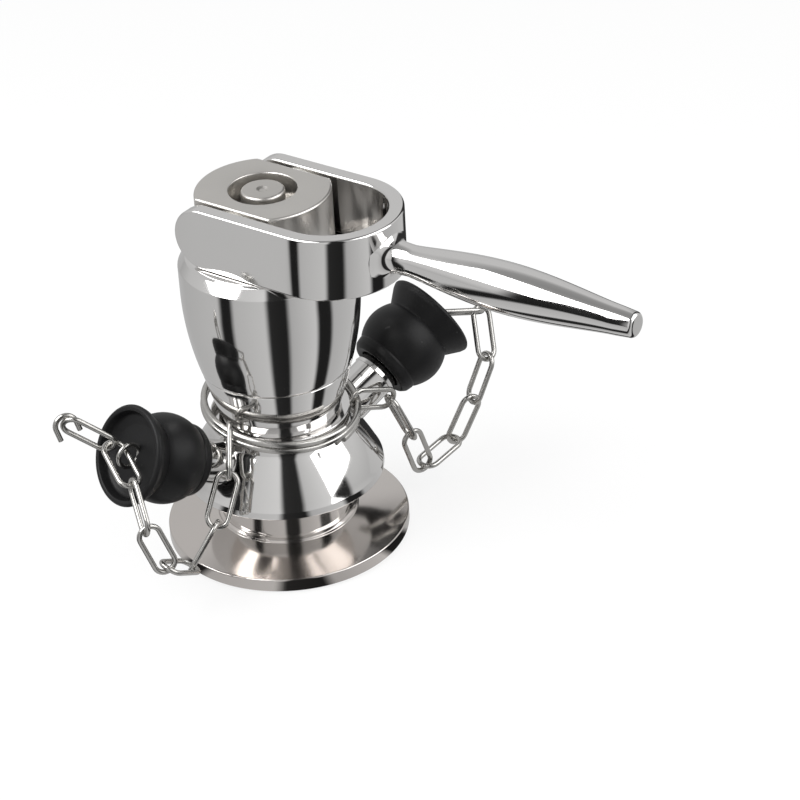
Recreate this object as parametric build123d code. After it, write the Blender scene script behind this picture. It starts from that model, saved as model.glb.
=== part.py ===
"""Sanitary sampling valve: clamp ferrule, bell-shaped body, lift lever and two capped hose barbs.

Millimetres, +Z up along the valve axis. The origin is the centre of the ferrule's sealing face,
+X is the way the lever points, and the hose barbs leave near +Y (right) and -Y (left).
"""
from build123d import *
import math
import os

# Clamp ferrule
FERRULE_DIAMETER = 50.5        # standard 1 1/2 inch hygienic clamp flange
FERRULE_RIM = 2.85             # edge thickness of the flange
FERRULE_SLOPE = 10.0           # degrees, back face that the clamp squeezes
FERRULE_BORE = 22.1
GASKET_PITCH_DIAMETER = 43.6
GASKET_GROOVE_RADIUS = 1.6
GASKET_GROOVE_DEPTH = 1.2
NECK_COLLAR_RADIUS = 14.1      # rounded step where the neck is welded on
FERRULE_HEIGHT = 5.6

# Body
NECK_RADIUS = 13.4
NECK_TOP = 12.6
BELL_RADIUS = 20.7
BELL_EDGE_BOTTOM = 14.4
BELL_EDGE_TOP = 15.9
BELL_TOP = 25.6
BELL_BULGE = 0.3
BODY_COLLAR_RADIUS = 14.4
BODY_TOP = 29.0
SEAT_RADIUS = 4.5
SEAT_LAND = 2.0                # straight part of the seat hole
CHAMBER_RADIUS = 6.5
MEMBRANE_LEDGE = 24.0          # height of the ledge that carries the membrane's rim
SOCKET_RADIUS = 9.5            # threaded socket for the bonnet base

# Hose barbs and their caps
BARB_ORIGIN_Z = 14.0           # both barb axes meet the valve axis here
BARB_TILT = 27.0               # degrees above the horizontal
BARB_TURN = 17.0               # degrees from the Y axis
BARB_RADIUS = 4.75
BARB_BORE_RADIUS = 2.5
BARB_END = 36.5                # along the barb axis from the valve axis
BARB_TOOTH_RADIUS = 5.0
BARB_TOOTH_ROOT = 4.3
BARB_TOOTH_PITCH = 3.2
BARB_TEETH = 3
CAP_SEATS = {"left": 25.3, "right": 28.8}   # mouth of each cap along its barb axis
CAP_CLEARANCE = 0.04
CAP_BORE_DEPTH = 11.6
CAP_LIP_RADIUS = 6.6
CAP_LIP_LENGTH = 2.3
CAP_CREASE_RADIUS = 7.5
CAP_BULB_RADIUS = 9.2
CAP_BULB_AT = 7.0
CAP_WAIST_RADIUS = 7.85
CAP_WAIST_AT = 12.0
CAP_RIM_RADIUS = 10.3
CAP_LENGTH = 16.9
CAP_RIM_WALL = 1.3
CAP_DISH_DEPTH = 2.6
EYE_WIRE = 1.0
EYE_RADIUS = 2.4               # to the middle of the wire
EYE_STAND = 1.9                # middle of the eye above the floor of the dish

# Bonnet, in two screwed halves
BASE_SEAT_RADIUS = 11.9
BASE_EDGE_Z = 30.0
BASE_EDGE_RADIUS = 12.7
BASE_FLOOR = 33.0
SPLIT_Z = 40.0
SPLIT_RADIUS = 15.5
THREAD_RADIUS = 12.2
THREAD_LENGTH = 6.0
BONNET_RADIUS = 18.1
BONNET_STRAIGHT_Z = 58.0
BONNET_EDGE_Z = 63.4
SHOULDER_Z = 66.0
SHOULDER_RADIUS = 16.2
CEILING_Z = 60.0
SPRING_ROOM_RADIUS = 10.0
BOSS_RADIUS = 13.6
BOSS_FLAT = 10.2               # half width across the two flats
BOSS_HEIGHT = 13.0
BOSS_TOP = SHOULDER_Z + BOSS_HEIGHT
BOSS_CHAMFER = 0.5
BOSS_WELL_RADIUS = 6.8
BOSS_WELL_DEPTH = 11.0
BOSS_WELL_FLOOR = BOSS_TOP - BOSS_WELL_DEPTH

# Spindle and what it carries
SPINDLE_RADIUS = 3.2
SPINDLE_TIP = 9.6
SPINDLE_NECK_RADIUS = 2.2
SPINDLE_NECK = (12.4, 14.4)
SPINDLE_HEAD_RADIUS = 4.4
SPINDLE_HEAD_STAND = 1.2       # under the head when the valve is shut
SPINDLE_HEAD_Z = BOSS_WELL_FLOOR + SPINDLE_HEAD_STAND
SPINDLE_HEAD_SUNK = 0.1        # below the top of the boss when the valve is shut
SPINDLE_TOP = BOSS_TOP - SPINDLE_HEAD_SUNK
SPINDLE_CHAMFER = 0.5
CENTRE_DIMPLE_RADIUS = 0.9
RUNNING_FIT = 0.05             # radial clearance of every sliding or turning fit
BUSH_WALL = 1.8
BUSH_LENGTH = 4.4
BUSH_FLANGE = 1.0
BUSH_FLANGE_RADIUS = 6.4
SEAL_SECTION_RADIUS = 0.9
SEAL_Z = 27.2
SPRING_COLLAR_Z = 36.0
SPRING_COLLAR_THICKNESS = 2.0
SPRING_COLLAR_RADIUS = 9.2
SPRING_RADIUS = 7.7
SPRING_WIRE = 1.8
SPRING_TURNS = 5
MEMBRANE_RIM = 1.2
MEMBRANE_PLUG_RADIUS = 5.4
MEMBRANE_PLUG_TOP = 12.0
MEMBRANE_SLEEVE_RADIUS = 4.5
MEMBRANE_NOSE_RADIUS = 3.8
PIN_RADIUS = 2.0
PIN_DEPTH = 6.4                # middle of the pin below the top of the boss
PIN_Z = BOSS_TOP - PIN_DEPTH
LIFT = 3.1                     # travel of the spindle

# Lever
ARM_INNER = 11.3               # half width inside the fork
ARM_OUTER = 14.4
ARM_END_RADIUS = 6.5           # half the lever's height, and the cam at the free ends
CAM_OFFSET = 5.0               # the cam's middle lies this far behind the pin
FORK_BEND_X = 16.3             # middle of the closed end
LEVER_GAP = 0.1                # under the lever when the valve is shut
LEVER_CHAMFER = 0.35
PIN_BLIND_WALL = 1.0           # left on the outside of the front arm
WASHER_RADIUS = 5.4
GRIP_DROP = 0.3                # middle of the grip below the pin
GRIP_Z = PIN_Z - GRIP_DROP
GRIP_SPIGOT_RADIUS = 2.4
GRIP_SPIGOT_LENGTH = 2.0
GRIP_ROOT_RADIUS = 5.2
GRIP_NECK_X = 34.5
GRIP_NECK_RADIUS = 3.15
GRIP_BELLY_X = 55.0
GRIP_BELLY_RADIUS = 4.95
GRIP_TAIL_X = 81.0
GRIP_TAIL_RADIUS = 2.85
GRIP_END_X = 84.8
GRIP_END_RADIUS = 1.9

# Split ring that the chains hang on
RING_WIRE = 1.4
RING_PLAY = 0.7                # round the collar that it lies loose on
RING_RADIUS = BODY_COLLAR_RADIUS + RING_PLAY + RING_WIRE / 2
RING_COIL_GAP = 0.05
RING_STAND = 1.3               # middle of the ring above the collar's top
RING_CENTRE = (0.5, -0.4, BODY_TOP + RING_STAND)
RING_TILT = 8.6                # degrees, lower on the lever's side

BARB_SIDES = {"left": -1, "right": 1}


def at(radius, height):
    """Point of a turned outline: radius from the axis and height along it."""
    return Vector(radius, 0, height)


def turned(points):
    """Solid of revolution about Z from a closed outline of (radius, height) points."""
    return revolve(make_face(Polyline([at(*point) for point in points], close=True)), Axis.Z)


def turned_edges(*edges):
    """Solid of revolution about Z from a closed outline made of lines and arcs, end to end."""
    outline = [edge for piece in edges for edge in piece.edges()]
    return revolve(Face(Wire(outline)), Axis.Z)


def bowed(start, end, bulge):
    """Arc from start to end, its middle standing off the chord to the right of travel."""
    along = (end - start).normalized()
    outward = Vector(along.Z, 0, -along.X)
    return ThreePointArc(start, (start + end) / 2 + outward * bulge, end)


def barb_frame(side, distance):
    """Plane across a barb's axis, facing outwards, at a distance from the valve axis."""
    tilt = math.radians(BARB_TILT)
    turn = math.radians(BARB_TURN)
    sign = BARB_SIDES[side]
    outward = Vector(sign * math.sin(turn) * math.cos(tilt),
                     sign * math.cos(turn) * math.cos(tilt), math.sin(tilt))
    level = Vector(sign * math.cos(turn), -sign * math.sin(turn), 0)
    return Plane(Vector(0, 0, BARB_ORIGIN_Z) + outward * distance, x_dir=level, z_dir=outward)


def clamp_ferrule():
    """Flange with a gasket groove below and a sloped back face for the clamp."""
    outer = FERRULE_DIAMETER / 2
    bore = FERRULE_BORE / 2
    rise = (outer - NECK_COLLAR_RADIUS) * math.tan(math.radians(FERRULE_SLOPE))
    edge_round = 0.4
    solid = turned([(bore, 0), (outer - edge_round, 0), (outer, edge_round), (outer, FERRULE_RIM),
                    (NECK_COLLAR_RADIUS, FERRULE_RIM + rise), (NECK_COLLAR_RADIUS, FERRULE_HEIGHT),
                    (bore, FERRULE_HEIGHT)])
    groove = Torus(GASKET_PITCH_DIAMETER / 2, GASKET_GROOVE_RADIUS)
    return solid - Pos(0, 0, GASKET_GROOVE_DEPTH - GASKET_GROOVE_RADIUS) * groove


def body_outline_edges():
    """Outside of the body, from the foot of the neck up to the collar's top."""
    foot = at(NECK_RADIUS, FERRULE_HEIGHT)
    neck = at(NECK_RADIUS, NECK_TOP)
    low_edge = at(BELL_RADIUS, BELL_EDGE_BOTTOM)
    high_edge = at(BELL_RADIUS - 0.15, BELL_EDGE_TOP)
    bell_top = at(BODY_COLLAR_RADIUS, BELL_TOP)
    collar_top = at(BODY_COLLAR_RADIUS, BODY_TOP)
    return [Line(foot, neck), Line(neck, low_edge), Line(low_edge, high_edge),
            bowed(high_edge, bell_top, BELL_BULGE), Line(bell_top, collar_top)]


def body_envelope():
    """The body without its bores, which the hose barbs are fitted against."""
    edges = body_outline_edges()
    top = at(0, BODY_TOP)
    foot = at(0, FERRULE_HEIGHT)
    return turned_edges(*edges, Line(at(BODY_COLLAR_RADIUS, BODY_TOP), top), Line(top, foot),
                        Line(foot, at(NECK_RADIUS, FERRULE_HEIGHT)))


def valve_body():
    """Neck, bell and collar in one piece, with the seat, the chamber and the side passages."""
    seat_top = FERRULE_HEIGHT + SEAT_LAND
    cone_top = seat_top + CHAMBER_RADIUS - SEAT_RADIUS
    inside = turned([(0, FERRULE_HEIGHT), (SEAT_RADIUS, FERRULE_HEIGHT), (SEAT_RADIUS, seat_top),
                     (CHAMBER_RADIUS, cone_top), (CHAMBER_RADIUS, MEMBRANE_LEDGE),
                     (SOCKET_RADIUS, MEMBRANE_LEDGE), (SOCKET_RADIUS, BODY_TOP), (0, BODY_TOP)])
    body = body_envelope() - inside
    for side in BARB_SIDES:
        passage = Cylinder(BARB_BORE_RADIUS, BARB_END, align=(Align.CENTER, Align.CENTER, Align.MIN))
        body -= barb_frame(side, 0) * passage
    return body


def hose_barb(side):
    """Tube welded on the bell, with a toothed end that a hose is pushed over."""
    points = [(BARB_BORE_RADIUS, CHAMBER_RADIUS), (BARB_RADIUS, CHAMBER_RADIUS)]
    teeth_start = BARB_END - BARB_TEETH * BARB_TOOTH_PITCH
    points.append((BARB_RADIUS, teeth_start))
    for tooth in range(BARB_TEETH):
        start = teeth_start + tooth * BARB_TOOTH_PITCH
        points.append((BARB_TOOTH_RADIUS, start))
        points.append((BARB_TOOTH_ROOT, start + BARB_TOOTH_PITCH))
    points.append((BARB_BORE_RADIUS, BARB_END))
    return barb_frame(side, 0) * turned(points) - body_envelope()


def cap_eye_local():
    """Wire ring, half sunk in the floor of the cap's dish, in the cap's own frame."""
    floor = CAP_LENGTH - CAP_DISH_DEPTH
    return Pos(0, 0, floor + EYE_STAND) * Rot(0, 90, 0) * Torus(EYE_RADIUS, EYE_WIRE / 2)


def cap_eye(side):
    return barb_frame(side, CAP_SEATS[side]) * cap_eye_local()


def rubber_cap(side):
    """Moulded cap: rolled lip, bulb, waist and a flared rim round a shallow dish."""
    bore = BARB_TOOTH_RADIUS + CAP_CLEARANCE
    floor = CAP_LENGTH - CAP_DISH_DEPTH
    edge_round = 0.5
    mouth = at(bore, 0)
    lip = at(CAP_LIP_RADIUS, 0)
    crease = at(CAP_CREASE_RADIUS, CAP_LIP_LENGTH)
    waist = at(CAP_WAIST_RADIUS, CAP_WAIST_AT)
    rim_low = at(CAP_RIM_RADIUS - 0.1, CAP_LENGTH - 2 * edge_round)
    rim_high = at(CAP_RIM_RADIUS - edge_round, CAP_LENGTH)
    rim_in = at(CAP_RIM_RADIUS - CAP_RIM_WALL, CAP_LENGTH)
    dish_edge = at(CAP_RIM_RADIUS - CAP_RIM_WALL - 0.4, floor + 0.8)
    dish_floor = at(CAP_RIM_RADIUS - CAP_RIM_WALL - 1.4, floor)
    centre = at(0, floor)
    bottom = at(0, CAP_BORE_DEPTH)
    bore_end = at(bore, CAP_BORE_DEPTH)
    solid = turned_edges(
        Line(mouth, lip), bowed(lip, crease, 0.35),
        ThreePointArc(crease, at(CAP_BULB_RADIUS, CAP_BULB_AT), waist),
        Line(waist, rim_low), bowed(rim_low, rim_high, 0.2), Line(rim_high, rim_in),
        Line(rim_in, dish_edge), Line(dish_edge, dish_floor), Line(dish_floor, centre),
        Line(centre, bottom), Line(bottom, bore_end), Line(bore_end, mouth))
    return barb_frame(side, CAP_SEATS[side]) * (solid - cap_eye_local())


def bush(low, flange_at_top):
    """Flanged guide bush round the spindle, its barrel starting at height low."""
    bore = SPINDLE_RADIUS + RUNNING_FIT
    barrel = SPINDLE_RADIUS + BUSH_WALL
    high = low + BUSH_LENGTH
    if flange_at_top:
        return turned([(bore, low), (barrel, low), (barrel, high), (BUSH_FLANGE_RADIUS, high),
                       (BUSH_FLANGE_RADIUS, high + BUSH_FLANGE), (bore, high + BUSH_FLANGE)])
    return turned([(bore, low - BUSH_FLANGE), (BUSH_FLANGE_RADIUS, low - BUSH_FLANGE),
                   (BUSH_FLANGE_RADIUS, low), (barrel, low), (barrel, high), (bore, high)])


def lower_guide_bush():
    return bush(BASE_FLOOR - BUSH_LENGTH, True)


def upper_guide_bush():
    return bush(CEILING_Z, False)


def spindle_seal():
    return Pos(0, 0, SEAL_Z) * Torus(SPINDLE_RADIUS + RUNNING_FIT + SEAL_SECTION_RADIUS, SEAL_SECTION_RADIUS)


def bonnet_base():
    """Lower bonnet: screws into the body, clamps the membrane and carries the lower bush."""
    bottom = MEMBRANE_LEDGE + MEMBRANE_RIM
    through = SPINDLE_RADIUS + 0.3
    gland = SPINDLE_RADIUS + RUNNING_FIT + 2 * SEAL_SECTION_RADIUS
    gland_low = SEAL_Z - SEAL_SECTION_RADIUS
    gland_high = SEAL_Z + SEAL_SECTION_RADIUS
    barrel = SPINDLE_RADIUS + BUSH_WALL
    bush_low = BASE_FLOOR - BUSH_LENGTH
    return turned([
        (through, bottom), (SOCKET_RADIUS, bottom), (SOCKET_RADIUS, BODY_TOP),
        (BASE_SEAT_RADIUS, BODY_TOP), (BASE_SEAT_RADIUS, BASE_EDGE_Z), (BASE_EDGE_RADIUS, BASE_EDGE_Z),
        (SPLIT_RADIUS, SPLIT_Z), (THREAD_RADIUS, SPLIT_Z), (THREAD_RADIUS, SPLIT_Z + THREAD_LENGTH),
        (SPRING_ROOM_RADIUS, SPLIT_Z + THREAD_LENGTH), (SPRING_ROOM_RADIUS, BASE_FLOOR),
        (barrel, BASE_FLOOR), (barrel, bush_low), (through, bush_low), (through, gland_high),
        (gland, gland_high), (gland, gland_low), (through, gland_low)])


def bonnet():
    """Upper bonnet: polished cup round the spring, with the flat-sided boss on top."""
    barrel = SPINDLE_RADIUS + BUSH_WALL
    bush_top = CEILING_Z + BUSH_LENGTH
    seam = at(SPLIT_RADIUS, SPLIT_Z)
    straight = at(BONNET_RADIUS, BONNET_STRAIGHT_Z)
    edge = at(BONNET_RADIUS, BONNET_EDGE_Z)
    edge_round = 0.7
    shoulder_low = at(BONNET_RADIUS - edge_round, BONNET_EDGE_Z + edge_round)
    shoulder = at(SHOULDER_RADIUS, SHOULDER_Z)
    inner = [(0, SHOULDER_Z), (0, bush_top), (barrel, bush_top), (barrel, CEILING_Z),
             (SPRING_ROOM_RADIUS, CEILING_Z), (SPRING_ROOM_RADIUS, SPLIT_Z + THREAD_LENGTH),
             (THREAD_RADIUS, SPLIT_Z + THREAD_LENGTH), (THREAD_RADIUS, SPLIT_Z)]
    cup = turned_edges(
        TangentArc(straight, seam, tangent=(0, 0, -1)), Line(straight, edge),
        bowed(edge, shoulder_low, 0.12), Line(shoulder_low, shoulder),
        Polyline(shoulder, *[at(*point) for point in inner], seam))
    blank = Cylinder(BOSS_RADIUS, BOSS_TOP - SHOULDER_Z, align=(Align.CENTER, Align.CENTER, Align.MIN))
    flats = Box(2 * BOSS_RADIUS, 2 * BOSS_FLAT, BOSS_TOP - SHOULDER_Z,
                align=(Align.CENTER, Align.CENTER, Align.MIN))
    boss = Pos(0, 0, SHOULDER_Z) * (blank & flats)
    boss = chamfer(boss.faces().sort_by(Axis.Z)[-1].edges(), BOSS_CHAMFER)
    well = turned([(0, BOSS_WELL_FLOOR), (BOSS_WELL_RADIUS, BOSS_WELL_FLOOR),
                   (BOSS_WELL_RADIUS, BOSS_TOP), (0, BOSS_TOP)])
    through = turned([(0, CEILING_Z), (SPINDLE_RADIUS + 0.3, CEILING_Z),
                      (SPINDLE_RADIUS + 0.3, BOSS_WELL_FLOOR), (0, BOSS_WELL_FLOOR)])
    slot_half = PIN_RADIUS + RUNNING_FIT
    slot_bottom = PIN_Z - slot_half
    slot_top = PIN_Z + LIFT + slot_half
    slot = Pos(0, 0, (slot_bottom + slot_top) / 2) * Rot(90, 0, 0) * extrude(
        Rot(0, 0, 90) * SlotOverall(slot_top - slot_bottom, 2 * slot_half), BOSS_RADIUS, both=True)
    return cup + boss - well - through - slot


def spindle():
    """Lifting rod: moulded tip, slim neck, guided shank and the head that the pin crosses."""
    neck_low, neck_high = SPINDLE_NECK
    top = SPINDLE_TOP
    rod = turned([(0, SPINDLE_TIP), (SPINDLE_RADIUS, SPINDLE_TIP), (SPINDLE_RADIUS, neck_low),
                  (SPINDLE_NECK_RADIUS, neck_low), (SPINDLE_NECK_RADIUS, neck_high),
                  (SPINDLE_RADIUS, neck_high), (SPINDLE_RADIUS, SPINDLE_HEAD_Z),
                  (SPINDLE_HEAD_RADIUS, SPINDLE_HEAD_Z), (SPINDLE_HEAD_RADIUS, top - SPINDLE_CHAMFER),
                  (SPINDLE_HEAD_RADIUS - SPINDLE_CHAMFER, top), (CENTRE_DIMPLE_RADIUS, top),
                  (0, top - CENTRE_DIMPLE_RADIUS / 2)])
    return rod - Pos(0, 0, PIN_Z) * Rot(90, 0, 0) * Cylinder(PIN_RADIUS, 4 * SPINDLE_HEAD_RADIUS)


def cross_pin():
    """Pivot pin: flush with the back arm, stopping short inside the front arm."""
    front = -(ARM_OUTER - PIN_BLIND_WALL - 2 * RUNNING_FIT)
    rod = Rot(-90, 0, 0) * Cylinder(PIN_RADIUS, ARM_OUTER - front,
                                    align=(Align.CENTER, Align.CENTER, Align.MIN))
    return Pos(0, front, PIN_Z) * rod


def spring_collar():
    """Retainer on the spindle that the return spring pushes down on."""
    low = SPRING_COLLAR_Z
    high = low + SPRING_COLLAR_THICKNESS
    return turned([(SPINDLE_RADIUS, low), (SPRING_COLLAR_RADIUS, low), (SPRING_COLLAR_RADIUS, high),
                   (SPINDLE_RADIUS, high)])


def return_spring():
    """Die spring of square wire with ground ends, between the collar and the bonnet's ceiling."""
    low = SPRING_COLLAR_Z + SPRING_COLLAR_THICKNESS
    height = CEILING_Z - low
    path = Helix(pitch=height / SPRING_TURNS, height=height, radius=SPRING_RADIUS)
    section = Plane(path @ 0, x_dir=(1, 0, 0), z_dir=path % 0) * Rectangle(SPRING_WIRE, SPRING_WIRE)
    coil = sweep(section, path=path, is_frenet=True)
    room = Cylinder(SPRING_ROOM_RADIUS, height, align=(Align.CENTER, Align.CENTER, Align.MIN))
    return Pos(0, 0, low) * (coil & room)


def seat_membrane():
    """Rubber plug on the spindle's tip with a sleeve up to the clamped rim."""
    neck_low, neck_high = SPINDLE_NECK
    seat_top = FERRULE_HEIGHT + SEAT_LAND
    nose_low = seat_top - (SEAT_RADIUS - MEMBRANE_NOSE_RADIUS)
    nose_high = seat_top + MEMBRANE_PLUG_RADIUS - SEAT_RADIUS
    rim_top = MEMBRANE_LEDGE + MEMBRANE_RIM
    through = SPINDLE_RADIUS + 0.3
    return turned([
        (0, nose_low), (MEMBRANE_NOSE_RADIUS, nose_low), (MEMBRANE_PLUG_RADIUS, nose_high),
        (MEMBRANE_PLUG_RADIUS, MEMBRANE_PLUG_TOP), (MEMBRANE_SLEEVE_RADIUS, neck_high),
        (MEMBRANE_SLEEVE_RADIUS, MEMBRANE_LEDGE - 1.5), (CHAMBER_RADIUS - 0.3, MEMBRANE_LEDGE),
        (SOCKET_RADIUS, MEMBRANE_LEDGE), (SOCKET_RADIUS, rim_top), (through, rim_top),
        (through, neck_high), (SPINDLE_NECK_RADIUS, neck_high), (SPINDLE_NECK_RADIUS, neck_low),
        (SPINDLE_RADIUS, neck_low), (SPINDLE_RADIUS, SPINDLE_TIP), (0, SPINDLE_TIP)])


def thrust_washers():
    """Two plain washers on the pin, between the boss's flats and the lever's arms."""
    low = BOSS_FLAT + RUNNING_FIT
    high = ARM_INNER - RUNNING_FIT
    ring = Cylinder(WASHER_RADIUS, high - low) - Cylinder(PIN_RADIUS, high - low)
    upright = Rot(90, 0, 0) * ring
    return Compound([Pos(0, side * (low + high) / 2, PIN_Z) * upright for side in (-1, 1)])


def lever_yoke():
    """U-shaped fork whose rounded free ends are the cams, cross-drilled for the pin."""
    height = 2 * ARM_END_RADIUS
    low = SHOULDER_Z + LEVER_GAP
    back = -(CAM_OFFSET + ARM_END_RADIUS)

    def plan(half_width):
        straight = Pos((back + FORK_BEND_X) / 2, 0) * Rectangle(FORK_BEND_X - back, 2 * half_width)
        return straight + Pos(FORK_BEND_X, 0) * Circle(half_width)

    blank = extrude(Pos(0, 0, low) * (plan(ARM_OUTER) - plan(ARM_INNER)), height)
    blank = chamfer(blank.faces().sort_by(Axis.Z)[-1].edges().filter_by(GeomType.LINE)
                    + blank.faces().sort_by(Axis.Z)[-1].edges().filter_by(GeomType.CIRCLE), LEVER_CHAMFER)
    front_x = FORK_BEND_X + ARM_OUTER
    side_view = Pos((front_x + ARM_END_RADIUS - CAM_OFFSET) / 2, 0) * Rectangle(
        front_x + ARM_END_RADIUS + CAM_OFFSET, height) + Pos(-CAM_OFFSET, 0) * Circle(ARM_END_RADIUS)
    side_solid = Pos(0, 0, low + ARM_END_RADIUS) * Rot(90, 0, 0) * extrude(side_view, ARM_OUTER, both=True)
    hole_front = -(ARM_OUTER - PIN_BLIND_WALL)
    hole = Pos(0, hole_front, PIN_Z) * Rot(-90, 0, 0) * Cylinder(
        PIN_RADIUS + RUNNING_FIT, 2 * ARM_OUTER, align=(Align.CENTER, Align.CENTER, Align.MIN))
    spigot_hole = Pos(front_x - GRIP_SPIGOT_LENGTH, 0, GRIP_Z) * Rot(0, 90, 0) * Cylinder(
        GRIP_SPIGOT_RADIUS, 2 * GRIP_SPIGOT_LENGTH, align=(Align.CENTER, Align.CENTER, Align.MIN))
    return (blank & side_solid) - hole - spigot_hole


def handle_grip():
    """Turned grip, welded on the fork's closed end over a short spigot."""
    front_x = FORK_BEND_X + ARM_OUTER
    root = at(GRIP_ROOT_RADIUS, front_x - 1.0)
    neck = at(GRIP_NECK_RADIUS, GRIP_NECK_X)
    belly = at(GRIP_BELLY_RADIUS, GRIP_BELLY_X)
    tail = at(GRIP_TAIL_RADIUS, GRIP_TAIL_X)
    end = at(GRIP_END_RADIUS, GRIP_END_X)
    start = at(0, front_x - 1.0)
    finish = at(0, GRIP_END_X)
    turned_grip = turned_edges(
        Line(start, root), ThreePointArc(root, at((root.X + 2 * neck.X) / 3, (root.Z + neck.Z) / 2), neck),
        Spline(neck, belly, tail, tangents=[(0.06, 0, 1), (-0.16, 0, 1)]),
        bowed(tail, end, 0.35), Line(end, finish), Line(finish, start))
    fork = Pos(FORK_BEND_X, 0, 0) * Cylinder(ARM_OUTER, 4 * PIN_Z)
    grip = Pos(0, 0, GRIP_Z) * Rot(0, 90, 0) * turned_grip - fork
    spigot = Pos(front_x - GRIP_SPIGOT_LENGTH, 0, GRIP_Z) * Rot(0, 90, 0) * Cylinder(
        GRIP_SPIGOT_RADIUS, 2 * GRIP_SPIGOT_LENGTH, align=(Align.CENTER, Align.CENTER, Align.MIN))
    return grip + spigot


def split_ring():
    """Two close turns of round wire, leaning as it lies loose round the collar."""
    pitch = RING_WIRE + RING_COIL_GAP
    path = Helix(pitch=pitch, height=2 * pitch, radius=RING_RADIUS)
    section = Plane(path @ 0, z_dir=path % 0) * Circle(RING_WIRE / 2)
    coil = sweep(section, path=path, is_frenet=True)
    return Pos(*RING_CENTRE) * Rot(0, RING_TILT, 0) * Pos(0, 0, -pitch) * coil


def build():
    """All sub-parts by node name."""
    nodes = {
        "clamp_ferrule": clamp_ferrule(),
        "valve_body": valve_body(),
        "bonnet_base": bonnet_base(),
        "bonnet": bonnet(),
        "lower_guide_bush": lower_guide_bush(),
        "upper_guide_bush": upper_guide_bush(),
        "spindle_seal": spindle_seal(),
        "spindle": spindle(),
        "cross_pin": cross_pin(),
        "spring_collar": spring_collar(),
        "return_spring": return_spring(),
        "seat_membrane": seat_membrane(),
        "thrust_washers": thrust_washers(),
        "lever_yoke": lever_yoke(),
        "handle_grip": handle_grip(),
        "split_ring": split_ring(),
    }
    for side in BARB_SIDES:
        nodes[side + "_hose_barb"] = hose_barb(side)
        nodes[side + "_cap"] = rubber_cap(side)
        nodes[side + "_cap_eye"] = cap_eye(side)
    return nodes


os.makedirs("parts", exist_ok=True)
for name, solid in build().items():
    export_step(solid, os.path.join("parts", name + ".step"))
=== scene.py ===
"""Dresses the sanitary sampling valve: mirror-polished steel, black rubber caps, split ring and chains.

Lengths are in millimetres on the valve's own axes and become metres when a mesh is made.
"""
import math

import bmesh
import bpy
import numpy as np
from mathutils import Matrix, Vector

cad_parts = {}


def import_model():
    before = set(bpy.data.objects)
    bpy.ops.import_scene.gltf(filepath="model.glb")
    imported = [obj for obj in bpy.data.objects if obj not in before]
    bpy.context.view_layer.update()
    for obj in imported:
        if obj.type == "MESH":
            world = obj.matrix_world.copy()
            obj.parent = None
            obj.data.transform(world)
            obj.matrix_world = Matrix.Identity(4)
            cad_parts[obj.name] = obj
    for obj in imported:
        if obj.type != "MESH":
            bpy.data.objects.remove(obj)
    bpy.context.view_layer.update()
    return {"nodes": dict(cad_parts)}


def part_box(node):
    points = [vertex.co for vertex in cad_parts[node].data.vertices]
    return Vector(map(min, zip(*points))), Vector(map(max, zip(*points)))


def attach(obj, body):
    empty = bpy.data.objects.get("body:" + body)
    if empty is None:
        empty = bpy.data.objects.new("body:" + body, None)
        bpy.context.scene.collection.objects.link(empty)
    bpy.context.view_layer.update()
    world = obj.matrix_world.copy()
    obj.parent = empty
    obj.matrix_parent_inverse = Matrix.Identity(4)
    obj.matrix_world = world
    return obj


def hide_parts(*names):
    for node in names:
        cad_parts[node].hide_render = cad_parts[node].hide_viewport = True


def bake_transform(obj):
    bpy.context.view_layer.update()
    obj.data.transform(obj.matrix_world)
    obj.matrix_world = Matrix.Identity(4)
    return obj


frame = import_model()

MM = 0.001
AROUND = 192                   # steps round a large turned piece
BARB_ORIGIN = np.array([0.0, 0.0, 14.0])
BARB_TILT = math.radians(27.0)
BARB_TURN = math.radians(17.0)
SIDES = {"left": -1.0, "right": 1.0}
CAP_SEATS = {"left": 25.3, "right": 28.8}   # mouth of each cap along its barb
CAP_DISH = 14.3                # floor of the dish above the cap's mouth
EYE_STAND = 1.9                # middle of the eye above the dish's floor
EYE_RADIUS = 2.4
EYE_WIRE = 1.0
CUP_RADIUS = 18.1
CUP_CURVE_TOP = 58.0           # where the cup's side turns upright
CUP_CURVE_DEPTH = 2.6          # how far the side draws in from there to the seam
BARB_END = 36.5
PIN_Z = 72.6
FORK_INNER, FORK_OUTER = 11.3, 14.4
FORK_BEND_X = 16.3
CAM_RADIUS = 6.5
CAM_OFFSET = 5.0
GRIP_Z = 72.3
RING_RADIUS = 15.8             # to the middle of the wire
RING_WIRE = 1.4
RING_PITCH = 1.45
RING_TILT = math.radians(8.6)
LINK_WIRE = 1.1
LINK_HALF = 5.7                # half length to the middle of the wire
LINK_BEND = 2.15               # radius of the end bends, to the middle of the wire
LINK_PLAY = 0.12
CHAIN_ANGLES = {"left": -95.0, "right": 45.0}   # degrees round the ring where each chain hangs
CHAIN_SLACK = {"left": 1.2, "right": 0.0}       # a link that hangs steeply across both turns stands further in
# Points that the links aim at, one after another
CHAIN_AIMS = {
    "left": [(3, -22, 24), (3, -27, 18), (1, -33, 10), (3, -42, 16), (0, -44, 25), (-7, -39, 31),
             (-15, -36, 35), (-18, -42, 40)],
    "right": [(14, 19, 25), (16, 20, 18), (17, 24, 9), (18, 33, 8), (21, 38, 17), (23, 43, 26),
              (18, 47, 34), (12, 38, 34)],
}
CHAIN_THREADED = {"left": 6, "right": 7}   # first link, counted from 0, that is held by the cap's eye


# ---------------------------------------------------------------- meshes

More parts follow.
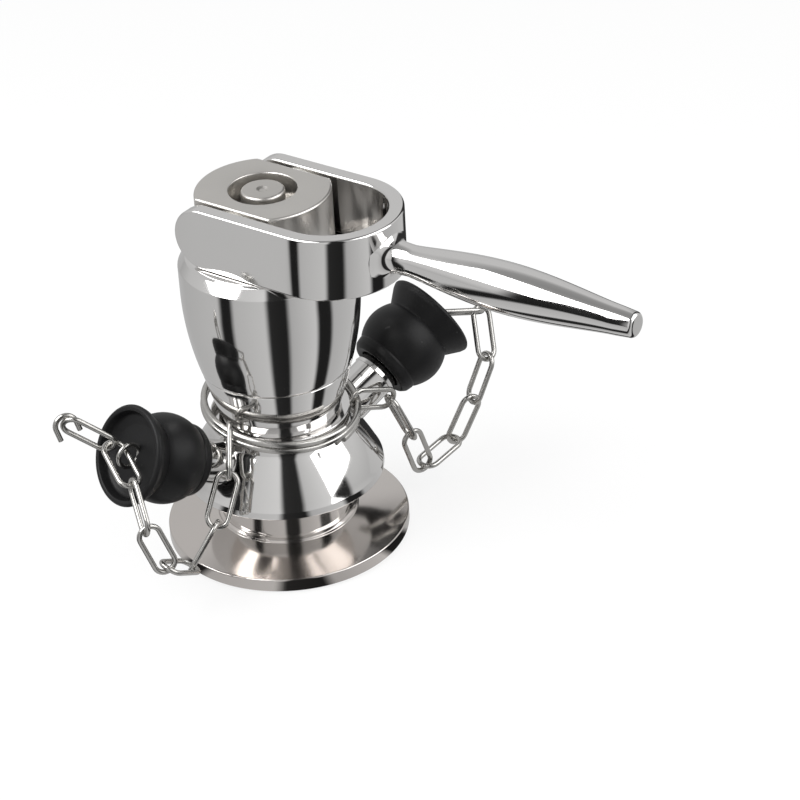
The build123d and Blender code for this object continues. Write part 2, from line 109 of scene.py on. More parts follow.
def make_piece(name, points, faces, sharp=35.0):
    """Mesh object from an array of points in millimetres and a list of faces, shaded smooth."""
    mesh = bpy.data.meshes.new(name)
    mesh.from_pydata((np.asarray(points) * MM).tolist(), [], faces)
    mesh.validate()
    mesh.shade_smooth()
    mesh.set_sharp_from_angle(angle=math.radians(sharp))
    piece = bpy.data.objects.new(name, mesh)
    bpy.context.scene.collection.objects.link(piece)
    return piece


def grid_faces(rows, columns, wrap_rows=False, wrap_columns=False, start=0):
    """Quads of a rows by columns grid of points, as an array of corner numbers."""
    row = np.arange(rows if wrap_rows else rows - 1)[:, None]
    column = np.arange(columns if wrap_columns else columns - 1)[None, :]
    next_row = (row + 1) % rows
    next_column = (column + 1) % columns
    corners = [row * columns + column, row * columns + next_column,
               next_row * columns + next_column, next_row * columns + column]
    return (np.stack(np.broadcast_arrays(*corners), -1).reshape(-1, 4) + start).tolist()


def eased(corners, steps=6):
    """Outline through corners (radius, height, fillet): each fillet is an arc tangent to both sides."""
    corners = [tuple(corner) + (0.0,) * (3 - len(corner)) for corner in corners]
    outline = []
    for number, (x, z, fillet) in enumerate(corners):
        here = np.array([x, z])
        if fillet == 0.0 or number in (0, len(corners) - 1):
            outline.append(here)
            continue
        back = np.array(corners[number - 1][:2]) - here
        ahead = np.array(corners[number + 1][:2]) - here
        back /= np.linalg.norm(back)
        ahead /= np.linalg.norm(ahead)
        half = 0.5 * math.acos(float(np.clip(back @ ahead, -1.0, 1.0)))
        centre = here + (back + ahead) / np.linalg.norm(back + ahead) * fillet / math.sin(half)
        first = here + back * fillet / math.tan(half) - centre
        last = here + ahead * fillet / math.tan(half) - centre
        turn = math.atan2(first[0] * last[1] - first[1] * last[0], float(first @ last))
        for angle in np.linspace(0.0, turn, steps + 1):
            spun = np.array([first[0] * math.cos(angle) - first[1] * math.sin(angle),
                             first[0] * math.sin(angle) + first[1] * math.cos(angle)])
            outline.append(centre + spun)
    return outline


def bow(start, end, bulge, steps=16):
    """Points after start and up to end along a parabola whose middle stands bulge off the chord."""
    start, end = np.array(start, float), np.array(end, float)
    along = (end - start) / np.linalg.norm(end - start)
    share = np.linspace(0.0, 1.0, steps + 1)[1:, None]
    outward = np.array([along[1], -along[0]])
    return list(start + (end - start) * share + outward * bulge * 4.0 * share * (1.0 - share))


def turned(name, outline, origin=(0, 0, 0), axis=(0, 0, 1), around=AROUND, sharp=35.0):
    """Lathe: the outline (radius, height) turned about axis through origin. Outline runs foot to top outside."""
    outline = np.array([point[:2] for point in outline], float)
    axis = np.array(axis, float) / np.linalg.norm(axis)
    side = np.cross([0.0, 1.0, 0.0] if abs(axis[1]) < 0.9 else [1.0, 0.0, 0.0], axis)
    side /= np.linalg.norm(side)
    other = np.cross(axis, side)
    angle = np.linspace(0.0, 2.0 * math.pi, around, endpoint=False)
    spoke = np.cos(angle)[:, None] * side + np.sin(angle)[:, None] * other
    points = (np.array(origin, float) + outline[:, 0][None, :, None] * spoke[:, None, :]
              + outline[:, 1][None, :, None] * axis).reshape(-1, 3)
    faces = grid_faces(around, len(outline), wrap_rows=True)
    piece = make_piece(name, points, faces, sharp)
    merge_doubles(piece)
    return piece


def merge_doubles(piece):
    """Closes poles and seams, and turns the faces outwards."""
    work = bmesh.new()
    work.from_mesh(piece.data)
    bmesh.ops.remove_doubles(work, verts=work.verts, dist=1e-6)
    bmesh.ops.dissolve_degenerate(work, edges=work.edges, dist=1e-7)
    bmesh.ops.recalc_face_normals(work, faces=work.faces)
    work.to_mesh(piece.data)
    work.free()


def wire(name, path, radius, closed, around=20):
    """Round wire along a path of points: a circle carried along without twisting."""
    path = np.asarray(path, float)
    count = len(path)
    if closed:
        tangent = np.roll(path, -1, 0) - np.roll(path, 1, 0)
    else:
        tangent = np.gradient(path, axis=0)
    tangent /= np.linalg.norm(tangent, axis=1)[:, None]
    side = np.cross(tangent[0], [0.0, 0.0, 1.0] if abs(tangent[0][2]) < 0.9 else [1.0, 0.0, 0.0])
    sides = []
    for step in range(count):
        side = side - tangent[step] * (side @ tangent[step])
        side = side / np.linalg.norm(side)
        sides.append(side)
    sides = np.array(sides)
    if closed:
        end = sides[-1] - tangent[0] * (sides[-1] @ tangent[0])
        twist = math.atan2(np.cross(sides[0], end) @ tangent[0], sides[0] @ end)
        turn = -twist * np.arange(count) / count
        others = np.cross(tangent, sides)
        sides = np.cos(turn)[:, None] * sides + np.sin(turn)[:, None] * others
    others = np.cross(tangent, sides)
    angle = np.linspace(0.0, 2.0 * math.pi, around, endpoint=False)
    ring = (np.cos(angle)[None, :, None] * sides[:, None, :] + np.sin(angle)[None, :, None] * others[:, None, :])
    points = (path[:, None, :] + radius * ring).reshape(-1, 3)
    faces = grid_faces(count, around, wrap_rows=closed, wrap_columns=True)
    if not closed:
        faces.append(list(range(around))[::-1])
        faces.append([(count - 1) * around + step for step in range(around)])
    piece = make_piece(name, points, faces, 40.0)
    merge_doubles(piece)
    return piece


# ---------------------------------------------------------------- shader maths

class Value:
    """A shader socket or number whose operators add Math nodes."""

    def __init__(self, nodes, socket):
        self.nodes = nodes
        self.socket = socket

    def _maths(self, operation, first, second):
        node = self.nodes.node("ShaderNodeMath", {"operation": operation}, {0: first, 1: second})
        return Value(self.nodes, node.outputs[0])

    def __add__(self, other):
        return self._maths("ADD", self, other)

    def __mul__(self, other):
        return self._maths("MULTIPLY", self, other)

    __radd__ = __add__
    __rmul__ = __mul__


class Nodes:
    """Node tree of one material or world, filled by short calls."""

    def __init__(self, tree):
        self.tree = tree
        self.tree.nodes.clear()

    def node(self, kind, settings=None, values=None):
        """Adds a node of that type: its settings first, then its sockets' values or links."""
        node = self.tree.nodes.new(kind)
        for key, value in (settings or {}).items():
            if key == "stops":
                set_stops(node.color_ramp, value)
            else:
                setattr(node, key, value)
        for key, value in (values or {}).items():
            if isinstance(value, Value):
                self.tree.links.new(value.socket, node.inputs[key])
            elif isinstance(value, bpy.types.NodeSocket):
                self.tree.links.new(value, node.inputs[key])
            else:
                node.inputs[key].default_value = value
        return node

    def place(self, scale=(1.0, 1.0, 1.0), centre=(0.0, 0.0, 0.0)):
        """Object coordinates, moved and scaled."""
        source = self.node("ShaderNodeTexCoord")
        return self.node("ShaderNodeMapping", None, {
            "Vector": source.outputs["Object"], "Location": centre, "Scale": scale}).outputs[0]

    def noise(self, scale, detail=3.0, roughness=0.5, vector=None):
        """Noise at so many cells per metre, from 0 to 1."""
        node = self.node("ShaderNodeTexNoise", None, {
            "Vector": vector if vector is not None else self.place(), "Scale": scale,
            "Detail": detail, "Roughness": roughness})
        return Value(self, node.outputs[0])

    def ramp(self, value, stops):
        node = self.node("ShaderNodeValToRGB", {"stops": stops}, {0: value})
        return node.outputs[0]

    def blend(self, factor, first, second):
        node = self.node("ShaderNodeMix", {"data_type": "RGBA"}, {0: factor, 6: first, 7: second})
        return node.outputs[2]

    def bump(self, height, strength, distance):
        node = self.node("ShaderNodeBump", None, {
            "Height": height, "Strength": strength, "Distance": distance})
        return node.outputs[0]

    def principled(self, values):
        shader = self.node("ShaderNodeBsdfPrincipled", None, values)
        self.node("ShaderNodeOutputMaterial", None, {"Surface": shader.outputs[0]})
        return shader


def set_stops(ramp, stops):
    """Sets a colour ramp's stops from (position, grey or colour) pairs."""
    while len(ramp.elements) > 1:
        ramp.elements.remove(ramp.elements[-1])
    for number, (position, colour) in enumerate(stops):
        element = ramp.elements[0] if number == 0 else ramp.elements.new(position)
        element.position = position
        grey = (colour, colour, colour) if isinstance(colour, float) else colour
        element.color = (*grey, 1.0)


def new_material(name):
    material = bpy.data.materials.new(name)
    material.use_nodes = True
    return material, Nodes(material.node_tree)


# ---------------------------------------------------------------- finishes

def polished_steel(name="polished_steel", base=(0.80, 0.79, 0.78), rough=0.045, wave=0.35):
    """Mirror polish: bright metal with faint buffing waves and smears in its gloss."""
    material, nodes = new_material(name)
    smear = nodes.noise(55.0, 4.0, 0.6)
    hairline = nodes.noise(900.0, 2.0, 0.6, nodes.place(scale=(1.0, 1.0, 0.15)))
    buffing = nodes.noise(38.0, 1.0, 0.4)
    nodes.principled({
        "Base Color": nodes.blend(smear, tuple(c * 0.94 for c in base) + (1.0,), (*base, 1.0)),
        "Metallic": 1.0,
        "Roughness": smear * 0.05 + hairline * 0.03 + (rough - 0.015),
        "Normal": nodes.bump(buffing, wave, 0.0004)})
    return material


def satin_steel(name="satin_steel", base=(0.66, 0.64, 0.61), rough=0.33):
    """Fine-turned steel: brighter and duller streaks in a soft sheen."""
    material, nodes = new_material(name)
    streak = nodes.noise(220.0, 5.0, 0.65, nodes.place(scale=(0.35, 1.6, 1.0)))
    cloud = nodes.noise(70.0, 3.0, 0.5)
    nodes.principled({
        "Base Color": nodes.blend(cloud, tuple(c * 0.88 for c in base) + (1.0,), (*base, 1.0)),
        "Metallic": 1.0,
        "Roughness": streak * 0.14 + cloud * 0.08 + (rough - 0.1),
        "Normal": nodes.bump(streak, 0.12, 0.0001)})
    return material


def drawn_wire(name="drawn_wire"):
    """Bright drawn wire with a slightly uneven gloss."""
    material, nodes = new_material(name)
    cloud = nodes.noise(400.0, 3.0, 0.6)
    nodes.principled({
        "Base Color": nodes.blend(cloud, (0.46, 0.45, 0.43, 1.0), (0.62, 0.61, 0.59, 1.0)),
        "Metallic": 1.0,
        "Roughness": cloud * 0.16 + 0.16,
        "Normal": nodes.bump(cloud, 0.15, 0.0001)})
    return material


def moulded_rubber(name="moulded_rubber"):
    """Semi-matt black rubber: fine mould texture, soft bloom and a few specks of dust."""
    material, nodes = new_material(name)
    grain = nodes.noise(2600.0, 3.0, 0.6)
    bloom = nodes.noise(95.0, 4.0, 0.6)
    specks = nodes.ramp(nodes.noise(700.0, 1.0, 0.4).socket, [(0.0, 0.0), (0.76, 0.0), (0.80, 1.0)])
    dark = nodes.blend(bloom, (0.003, 0.003, 0.0035, 1.0), (0.007, 0.007, 0.0075, 1.0))
    nodes.principled({
        "Base Color": nodes.blend(specks, dark, (0.03, 0.03, 0.03, 1.0)),
        "Roughness": bloom * 0.16 + grain * 0.10 + 0.32,
        "Specular IOR Level": 0.30,
        "Normal": nodes.bump(grain, 0.25, 0.00006)})
    return material


def plain_finish(name, base, rough, metallic=0.0):
    """Finish of the inner pieces: one colour with a little cloud in its gloss."""
    material, nodes = new_material(name)
    cloud = nodes.noise(160.0, 3.0, 0.5)
    nodes.principled({
        "Base Color": nodes.blend(cloud, tuple(c * 0.9 for c in base) + (1.0,), (*base, 1.0)),
        "Metallic": metallic,
        "Roughness": cloud * 0.15 + rough,
        "Normal": nodes.bump(cloud, 0.05, 0.0001)})
    return material


MIRROR = polished_steel()
SATIN = satin_steel()
# Darker, browner copy of the polished steel for the clamp ferrule: painted shade and painted dark reflections on the
# same steel as the rest
PAINTED_SHADE_STEEL = polished_steel("neck_steel_painted_shade", (0.70, 0.66, 0.63), 0.10, 0.5)
WIRE = drawn_wire()
RUBBER = moulded_rubber()
PLASTIC = plain_finish("bearing_plastic", (0.85, 0.84, 0.80), 0.4)
SEAL = plain_finish("seal_rubber", (0.05, 0.05, 0.05), 0.5)
SPRING = plain_finish("spring_steel", (0.6, 0.6, 0.6), 0.25, 1.0)


def wear(piece, material):
    """Gives a piece its finish in its first slot."""
    if piece.data.materials:
        piece.data.materials[0] = material
    else:
        piece.data.materials.append(material)
    return piece


def dress(piece, material, body, slot, *nodes):
    """Finish, body and the CAD nodes that the piece stands for; the slot argument is not used."""
    wear(piece, material)
    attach(piece, body)
    if nodes:
        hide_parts(*nodes)
    return piece


# ---------------------------------------------------------------- turned pieces of the housing

def clamp_ferrule():
    """Flange with its gasket groove, its sloped back and the rolled step at the neck."""
    groove = [(21.8 + 1.55 * math.cos(a), -0.4 + 1.6 * math.sin(a)) for a in
              np.linspace(math.radians(15), math.radians(165), 11)]
    outline = [(11.05, 5.6), (11.05, 0.0)] + groove[::-1]
    outline += eased([(24.0, 0.0), (25.25, 0.0, 0.45), (25.25, 2.85, 0.35), (14.7, 4.72, 0.25),
                      (14.5, 5.2, 0.3), (14.0, 5.6, 0.3), (11.05, 5.6)])
    # The ferrule wears the darker, browner copy of the polished steel: painted shade
    return dress(turned("ferrule", outline), PAINTED_SHADE_STEEL, "housing", "polished_steel", "clamp_ferrule")


def valve_body():
    """Neck, bell with its rounded edge, and collar, with the socket and seat inside."""
    outline = [(4.5, 7.6), (4.5, 5.6)]
    outline += eased([(6.0, 5.6), (13.4, 5.6), (13.4, 12.6, 0.8), (20.7, 14.4, 0.35), (20.55, 15.9, 0.35),
                      (20.2, 16.5)])
    outline += bow((20.2, 16.5), (14.5, 25.6), 0.3)
    outline += eased([(14.45, 25.8), (14.4, 29.0, 0.3), (9.5, 29.0), (9.5, 24.0), (6.5, 24.0), (6.5, 9.6),
                      (4.5, 7.6)])
    return dress(turned("bell_body", outline), MIRROR, "housing", "polished_steel", "valve_body")


def bonnet_base():
    """Lower bonnet: narrow seat, rounded edge and the lower flank of the cup."""
    outline = eased([(5.0, 29.0), (11.9, 29.0), (11.9, 30.0, 0.2), (12.7, 30.0, 0.35)])
    outline += bow((12.72, 30.3), (15.42, 39.86), 0.1)
    outline += [(15.36, 39.97), (15.1, 40.0), (5.0, 40.0), (5.0, 29.0)]
    return dress(turned("lower_bonnet", outline), MIRROR, "housing", "polished_steel", "bonnet_base")


def cup_flank():
    """Side of the cup, tangent to the vertical at the top of the curve."""
    height = np.linspace(40.14, CUP_CURVE_TOP, 24)
    flat_radius = (CUP_CURVE_DEPTH ** 2 + 18.0 ** 2) / (2.0 * CUP_CURVE_DEPTH)
    radius = CUP_RADIUS - (flat_radius - np.sqrt(flat_radius ** 2 - (CUP_CURVE_TOP - height) ** 2))
    return list(zip(radius, height))


def bonnet_cup():
    """Cup from the seam up to the flat shoulder below the fork."""
    outline = [(5.0, 40.0), (15.1, 40.0), (15.44, 40.03)] + cup_flank()
    outline += eased([(CUP_RADIUS, 60.0), (CUP_RADIUS, 63.6, 0.7), (16.6, 65.6, 0.5), (16.0, 66.0, 0.5), (13.0, 66.0),
                      (5.0, 66.0), (5.0, 40.0)])
    return dress(turned("bonnet_cup", outline), MIRROR, "housing", "polished_steel", "bonnet")


def boss():
    """Flat-sided boss: rings of one plan outline, drawn in over the chamfer and down the well."""
    half = 10.2
    radius = 13.6
    corner = math.asin(half / radius)
    quarter = np.concatenate([np.linspace(-corner, corner, 41), np.linspace(corner, math.pi - corner, 41)[1:]])
    angle = np.concatenate([quarter, quarter[1:-1] + math.pi])

    def plan(inset):
        """Distance from the axis to the outline drawn in by inset."""
        return np.minimum(radius - inset, (half - inset) / np.maximum(np.abs(np.sin(angle)), 1e-9))

    levels = [(plan(0.0), 66.0), (plan(0.0), 78.45)]
    for step in np.linspace(0.0, math.pi / 2.0, 6):
        levels.append((plan(0.5 * (1.0 - math.cos(step))), 78.5 + 0.5 * math.sin(step)))
    round_levels = [(7.1, 79.0), (6.95, 78.95), (6.85, 78.85), (6.8, 78.7), (6.8, 68.3), (6.5, 68.0),
                    (3.5, 68.0)]
    levels += [(np.full_like(angle, r), z) for r, z in round_levels]
    points = np.array([np.stack([r * np.cos(angle), r * np.sin(angle), np.full_like(angle, z)], -1)
                       for r, z in levels])
    piece = make_piece("boss", points.reshape(-1, 3), grid_faces(len(levels), len(angle), wrap_columns=True),
                       25.0)
    merge_doubles(piece)
    return dress(piece, boss_finish(), "housing", "polished_steel")


def boss_finish():
    """Satin top on a boss whose sides are less finely turned."""
    return satin_steel("boss_steel", (0.70, 0.68, 0.65), 0.30)


def spindle_head():
    """Spindle: rounded head with a centre dimple, and the rod below it."""
    outline = eased([(0.0, 9.6), (3.2, 9.6), (3.2, 69.2), (4.4, 69.2, 0.15), (4.4, 78.9, 0.6), (1.3, 78.9, 0.3),
                     (0.7, 78.6, 0.4), (0.0, 78.55)])
    return dress(turned("spindle_rod", outline, around=96), SATIN, "spindle", "turned_steel", "spindle")


# ---------------------------------------------------------------- lever

def fork():
    """U-shaped fork: a rounded-edge section carried along the U, its height closing to a half circle."""
    edge = 0.55
    wall = FORK_OUTER - FORK_INNER
    middle = (FORK_OUTER + FORK_INNER) / 2.0
    across = []
    for step in np.linspace(0.0, math.pi / 2.0, 6):
        across.append((-wall / 2.0 + edge * (1.0 - math.cos(step)), CAM_RADIUS - edge * (1.0 - math.sin(step))))
    across += [(-offset, reach) for offset, reach in reversed(across)]
    across = np.array(across)
    offset = np.concatenate([across[:, 0], across[::-1, 0]])
    reach = np.concatenate([across[:, 1], across[::-1, 1]])
    sign = np.concatenate([np.ones(len(across)), -np.ones(len(across))])
    rounding = np.linspace(math.pi / 2.0, 0.0, 40)
    rows = []
    for angle in rounding:
        x = -CAM_OFFSET - reach * math.sin(angle)
        z = PIN_Z + sign * reach * math.cos(angle)
        rows.append(np.stack([x, -(middle + offset), z], -1))
    for x in np.linspace(-CAM_OFFSET, FORK_BEND_X, 24)[1:]:
        rows.append(np.stack([np.full_like(offset, x), -(middle + offset), PIN_Z + sign * reach], -1))
    for turn in np.linspace(-math.pi / 2.0, math.pi / 2.0, 97)[1:]:
        rows.append(np.stack([FORK_BEND_X + (middle + offset) * math.cos(turn),
                              (middle + offset) * math.sin(turn), PIN_Z + sign * reach], -1))
    for row in rows[:len(rounding) + 22][::-1]:
        rows.append(row * np.array([1.0, -1.0, 1.0]))
    points = np.array(rows)
    piece = make_piece("fork", points.reshape(-1, 3), grid_faces(len(rows), len(offset), wrap_columns=True), 30.0)
    merge_doubles(piece)
    return dress(piece, MIRROR, "lever", "polished_steel", "lever_yoke")


def grip():
    """Turned grip: flared root, slim neck, swelling belly and a rounded tail."""
    root = FORK_BEND_X + FORK_OUTER - 1.2
    outline = [(0.0, root - 0.5), (6.2, root - 0.5), (6.2, root)]
    outline += eased([(6.2, root + 0.1), (3.3, root + 1.6, 3.2), (3.12, root + 5.6)], 10)[1:-1]
    length = np.linspace(root + 5.6, 81.0, 46)
    share = (length - length[0]) / (length[-1] - length[0])
    swell = 3.12 + (2.85 - 3.12) * share + 1.95 * np.sin(math.pi * share ** 0.94) ** 1.25
    outline += list(zip(swell, length))
    outline += eased([(2.8, 81.6), (2.45, 84.8, 0.9), (0.0, 84.8)], 8)[1:]
    piece = turned("grip", outline, origin=(0.0, 0.0, GRIP_Z), axis=(1.0, 0.0, 0.0), around=128)
    return dress(piece, MIRROR, "lever", "polished_steel", "handle_grip")


def pin_end():
    """The pivot pin, whose end shows just proud of the back arm."""
    outline = eased([(0.0, -13.2), (2.0, -13.2), (2.0, 14.45, 0.25), (0.0, 14.45)])
    piece = turned("pivot_pin", outline, origin=(0.0, 0.0, PIN_Z), axis=(0.0, 1.0, 0.0), around=64)
    return dress(piece, SATIN, "spindle", "turned_steel", "cross_pin")


# ---------------------------------------------------------------- barbs and caps

def barb_axis(side):
    """Unit vector outwards along that side's barb."""
    sign = SIDES[side]
    return np.array([sign * math.sin(BARB_TURN) * math.cos(BARB_TILT),
                     sign * math.cos(BARB_TURN) * math.cos(BARB_TILT), math.sin(BARB_TILT)])


def hose_barb(side):
    """Tube out of the bell with three saw teeth at its end."""
    corners = [(2.5, 14.0), (4.6, 14.0), (4.75, 26.9, 0.1)]
    for tooth in range(3):
        start = 26.9 + 3.2 * tooth
        corners += [(5.0, start, 0.1), (4.3, start + 3.2)]
    corners += [(2.5, BARB_END), (2.5, 14.0)]
    piece = turned(side + "_barb", eased(corners), origin=BARB_ORIGIN, axis=barb_axis(side), around=96)
    return dress(piece, MIRROR, "housing", "polished_steel", side + "_hose_barb")


def rubber_cap(side):
    """Moulded cap: rolled lip, bulb, creased waist, flared rim and a shallow dish."""
    outline = [(5.04, 11.6), (5.04, 0.3)]
    outline += eased([(5.04, 0.0), (6.5, 0.0, 0.5), (7.3, 0.9, 0.9), (7.55, 2.2, 0.5), (7.5, 2.6)])[1:-1]
    bulge = np.linspace(0.0, 1.0, 22)
    belly = 7.5 + (7.85 - 7.5) * bulge + 1.55 * np.sin(math.pi * bulge) ** 0.8
    outline += list(zip(belly, 2.6 + (12.0 - 2.6) * bulge))
    outline += eased([(7.85, 12.0), (8.0, 12.35, 0.3), (9.85, 15.2, 1.6), (10.28, 16.3, 0.5),
                      (9.75, 16.9, 0.45), (9.0, 16.75, 0.4), (8.35, 15.0, 0.9), (6.6, CAP_DISH, 0.9),
                      (0.0, CAP_DISH)])[1:]
    outline += [(0.0, 11.6), (5.04, 11.6)]
    origin = BARB_ORIGIN + CAP_SEATS[side] * barb_axis(side)
    piece = turned(side + "_rubber_cap", outline, origin=origin, axis=barb_axis(side), around=128)
    return dress(piece, RUBBER, side + "_cap", "cap_rubber", side + "_cap")


def cap_eye(side):
    """Wire ring half sunk in the floor of the dish."""
    axis = barb_axis(side)
    sign = SIDES[side]
    level = np.array([sign * math.cos(BARB_TURN), -sign * math.sin(BARB_TURN), 0.0])
    upright = np.cross(axis, level)
    centre = BARB_ORIGIN + (CAP_SEATS[side] + CAP_DISH + EYE_STAND) * axis
    angle = np.linspace(0.0, 2.0 * math.pi, 64, endpoint=False)[:, None]
    path = centre + EYE_RADIUS * (np.cos(angle) * axis + np.sin(angle) * upright)
    piece = wire(side + "_eye", path, EYE_WIRE / 2.0, True)
    return dress(piece, WIRE, side + "_cap", "steel_wire", side + "_cap_eye")


# ---------------------------------------------------------------- split ring

def ring_place():
    """Middle of the split ring in millimetres and the matrix of its lean."""
    low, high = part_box("split_ring")
    centre = (np.array(low) + np.array(high)) / 2.0 / MM
    lean = np.array([[math.cos(RING_TILT), 0.0, math.sin(RING_TILT)], [0.0, 1.0, 0.0],
                     [-math.sin(RING_TILT), 0.0, math.cos(RING_TILT)]])
    return centre, lean


def split_ring():
    """Two close turns of wire on a leaning helix, the ends lying beside the turns."""
    centre, lean = ring_place()
    turn = np.linspace(0.0, 4.0 * math.pi, 400)
    height = RING_PITCH * (turn / (2.0 * math.pi) - 1.0)
    local = np.stack([RING_RADIUS * np.cos(turn), RING_RADIUS * np.sin(turn), height], -1)
    piece = wire("key_ring", local @ lean.T + centre, RING_WIRE / 2.0, False, 24)
    return dress(piece, WIRE, "housing", "steel_wire", "split_ring")


# ---------------------------------------------------------------- chains

def unit(vector):
    """The vector at length 1."""
    return vector / np.linalg.norm(vector)


def first_link(side):
    """Direction, normal and first bend of the link that is drawn tight on the ring's wire."""
    centre, lean = ring_place()
    angle = math.radians(CHAIN_ANGLES[side])
    on_ring = centre + lean @ (RING_RADIUS * np.array([math.cos(angle), math.sin(angle), 0.0]))
    along = unit(np.array(CHAIN_AIMS[side][0], float) - on_ring)
    normal = unit(np.cross(along, lean @ np.array([0.0, 0.0, 1.0])))
    tight = LINK_BEND - (RING_WIRE + LINK_WIRE) / 2.0 - LINK_PLAY
    return along, normal, on_ring + along * (tight - CHAIN_SLACK[side])


def chain_links(side):
    """Middle, length direction and normal of each link, every one turned square to the one before.

    Two links pivot on the wire of whichever lies across the bend, so the room that each
    leaves in the joint goes from near to far with how squarely it lies in the bend's plane.
    """
    near = LINK_BEND - LINK_WIRE - LINK_PLAY
    far = LINK_BEND
    straight = 2.0 * (LINK_HALF - LINK_BEND)
    along, normal, bend = first_link(side)
    links = [(bend + along * straight / 2.0, along, normal)]
    for aim in CHAIN_AIMS[side][1:]:
        last_bend = bend + along * straight
        ahead = unit(np.array(aim, float) - last_bend)
        flatness = float(unit(np.cross(along, ahead)) @ normal) ** 2
        room = far + (near - far) * flatness
        next_room = near + (far - near) * flatness
        bend = last_bend + along * room + ahead * next_room
        normal = unit(np.cross(normal, ahead))
        along = ahead
        links.append((bend + along * straight / 2.0, along, normal))
    return links


def link_path(middle, along, normal, bend_steps=14):
    """Middle of a link's wire: two half circles joined by straights."""
    across = np.cross(normal, along)
    straight = LINK_HALF - LINK_BEND
    turn = np.linspace(-math.pi / 2.0, math.pi / 2.0, bend_steps + 1)[:, None]
    half = along * (straight + LINK_BEND * np.cos(turn)) + across * LINK_BEND * np.sin(turn)
    return middle + np.concatenate([half, -half])


def chain(side):
    """Welded links: the first stays on the ring, those in the eye go with the cap, the rest hang between."""
    cap = side + "_cap"
    links = chain_links(side)
    for number, (middle, along, normal) in enumerate(links):
        path = link_path(middle, along, normal)
        piece = wire(side + "_chain_link_" + str(number + 1), path, LINK_WIRE / 2.0, True, 16)
        wear(piece, WIRE)
        if number == 0:
            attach(piece, "housing")
        elif number >= CHAIN_THREADED[side]:
            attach(piece, cap)
        else:
            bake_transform(piece)


def cut_link():
    """Remnant of a cut link, hooked over the last left link with its open legs hanging."""
    middle, along, _ = chain_links("left")[-1]
    tip = middle + along * LINK_HALF
    legs = unit(np.array([0.3, 0.1, -0.95]))
    across = unit(along - legs * (along @ legs))
    centre = tip + legs * (LINK_BEND - LINK_WIRE - LINK_PLAY)
    turn = np.linspace(0.0, math.pi, 19)[:, None]
    bend = centre + across * LINK_BEND * np.cos(turn) - legs * LINK_BEND * np.sin(turn)
    path = np.concatenate([[bend[0] + legs * 2.4, bend[0] + legs * 1.2], bend,
                           [bend[-1] + legs * 1.2, bend[-1] + legs * 2.0]])
    piece = wire("left_chain_cut_link", path, LINK_WIRE / 2.0, False, 16)
    wear(piece, WIRE)
    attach(piece, "left_cap")


clamp_ferrule()
valve_body()
bonnet_base()
bonnet_cup()
boss()
spindle_head()
fork()
grip()
pin_end()
split_ring()
for side_name in SIDES:
    hose_barb(side_name)
    rubber_cap(side_name)
    cap_eye(side_name)
    chain(side_name)
cut_link()

for node_name, finish in (("lower_guide_bush", PLASTIC), ("upper_guide_bush", PLASTIC),
                          ("thrust_washers", PLASTIC), ("spindle_seal", SEAL), ("seat_membrane", SEAL),
                          ("return_spring", SPRING), ("spring_collar", SATIN)):
    wear(frame["nodes"][node_name], finish)


# ---------------------------------------------------------------- studio

def panel_colour(nodes, place):
    """Brightness of the tent in the direction of a place round the valve's axis."""
    split = nodes.node("ShaderNodeSeparateXYZ", None, {"Vector": place})
    azimuth = nodes.node("ShaderNodeMath", {"operation": "ARCTAN2"}, {0: split.outputs[1], 1: split.outputs[0]})
    share = Value(nodes, azimuth.outputs[0]) * (0.5 / math.pi) + 0.5
    return nodes.ramp(share.socket, TENT_PANELS), split.outputs[2]


def floor():
    """Wide pale floor; polished metal sees the tent's panels standing on it."""
    bpy.ops.mesh.primitive_plane_add(size=3.0, location=(0.0, 0.0, -0.0002))
    plane = bpy.context.object
    plane.name = "floor"
    material, nodes = new_material("floor_white")
    light_path = nodes.node("ShaderNodeLightPath")
    diffuse = nodes.node("ShaderNodeBsdfDiffuse", None, {"Color": (0.86, 0.86, 0.86, 1.0)})
    white = nodes.node("ShaderNodeEmission", None, {"Color": (1.0, 1.0, 1.0, 1.0), "Strength": 1.0})
    mix = nodes.node("ShaderNodeMixShader", None, {
        0: Value(nodes, light_path.outputs["Is Camera Ray"]) * 0.8,
        1: diffuse.outputs[0], 2: white.outputs[0]})
    panels, _ = panel_colour(nodes, nodes.node("ShaderNodeTexCoord").outputs["Object"])
    mirrored = nodes.node("ShaderNodeEmission", None, {"Color": panels, "Strength": 0.8})
    both = nodes.node("ShaderNodeMixShader", None, {
        0: light_path.outputs["Is Glossy Ray"], 1: mix.outputs[0], 2: mirrored.outputs[0]})
    nodes.node("ShaderNodeOutputMaterial", None, {"Surface": both.outputs[0]})
    wear(plane, material)


def world():
    """White tent with dark gaps between its panels, seen only in reflections."""
    tent = bpy.data.worlds.new("tent")
    bpy.context.scene.world = tent
    tent.use_nodes = True
    nodes = Nodes(tent.node_tree)
    light_path = nodes.node("ShaderNodeLightPath")
    glossy = Value(nodes, light_path.outputs["Is Glossy Ray"])
    camera = Value(nodes, light_path.outputs["Is Camera Ray"])
    panels, upward = panel_colour(nodes, nodes.node("ShaderNodeTexCoord").outputs["Generated"])
    height = nodes.ramp((Value(nodes, upward) * 0.5 + 0.5).socket, TENT_HEIGHT)
    both = nodes.node("ShaderNodeMix", {"data_type": "RGBA", "blend_type": "MULTIPLY"}, {
        0: 1.0, 6: panels, 7: height}).outputs[2]
    seen = nodes.blend(glossy, (0.62, 0.62, 0.62, 1.0), both)
    colour = nodes.blend(camera, seen, (1.0, 1.0, 1.0, 1.0))
    background = nodes.node("ShaderNodeBackground", None, {"Color": colour, "Strength": 1.0})
    nodes.node("ShaderNodeOutputWorld", None, {"Surface": background.outputs[0]})


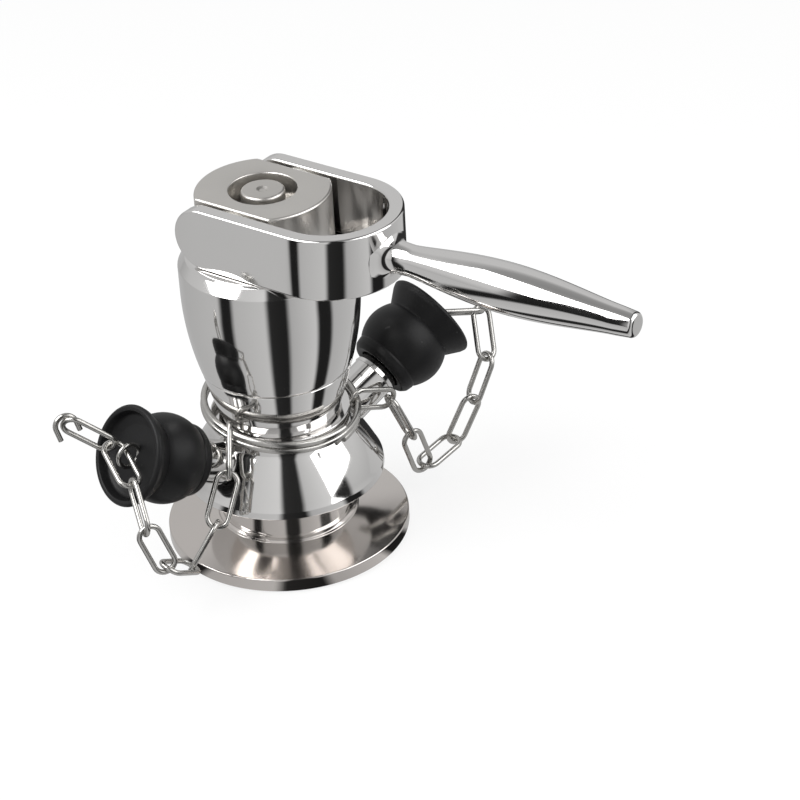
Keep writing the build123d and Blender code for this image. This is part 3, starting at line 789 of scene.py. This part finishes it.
# Share of a full turn from -X through -Y, +X and +Y, and the brightness of the tent there
TENT_PANELS = [(0.0, 0.62), (0.17, 0.72), (0.185, 0.02), (0.215, 0.02), (0.23, 0.66), (0.33, 0.78),
               (0.345, 0.03), (0.40, 0.02), (0.415, 0.60), (0.50, 0.82), (0.515, 0.02), (0.56, 0.02),
               (0.575, 0.62), (0.72, 0.76), (0.735, 0.04), (0.79, 0.04), (0.81, 0.66), (1.0, 0.62)]
TENT_HEIGHT = [(0.0, 0.35), (0.42, 0.55), (0.5, 0.75), (0.6, 0.95), (0.85, 1.0), (0.93, 0.55), (1.0, 0.45)]


def softbox(name, place, target, size, watts):
    """Square area lamp aimed at a point, places in millimetres."""
    lamp = bpy.data.lights.new(name, "AREA")
    lamp.shape = "SQUARE"
    lamp.size = size * MM
    lamp.energy = watts
    lamp_object = bpy.data.objects.new(name, lamp)
    lamp_object.location = Vector(place) * MM
    aim = Vector(target) - Vector(place)
    lamp_object.rotation_euler = aim.to_track_quat("-Z", "Y").to_euler()
    bpy.context.scene.collection.objects.link(lamp_object)


def camera():
    """Camera in front, to the right of the lever's line and above."""
    turn, rise, roll = math.radians(36.15), math.radians(31.48), math.radians(-3.18)
    right = Vector((math.cos(turn), math.sin(turn), 0.0))
    back = Vector((math.sin(turn) * math.cos(rise), -math.cos(turn) * math.cos(rise), math.sin(rise)))
    up = back.cross(right)
    rolled_right = right * math.cos(roll) + up * math.sin(roll)
    rolled_up = up * math.cos(roll) - right * math.sin(roll)
    data = bpy.data.cameras.new("camera")
    data.sensor_width = 36.0
    data.lens = 125.43
    data.clip_start = 0.01
    eye = bpy.data.objects.new("camera", data)
    turned_to = Matrix((rolled_right, rolled_up, back)).transposed().to_4x4()
    place = Vector((30.67, -0.32, 39.91)) + back * 550.7
    eye.matrix_world = Matrix.Translation(place * MM) @ turned_to
    bpy.context.scene.collection.objects.link(eye)
    bpy.context.scene.camera = eye


bpy.context.scene.view_settings.view_transform = "Standard"
floor()
world()
softbox("key", (-180.0, -260.0, 420.0), (0.0, 0.0, 40.0), 380.0, 2.2)
softbox("fill", (320.0, 120.0, 300.0), (0.0, 0.0, 40.0), 380.0, 1.0)
camera()
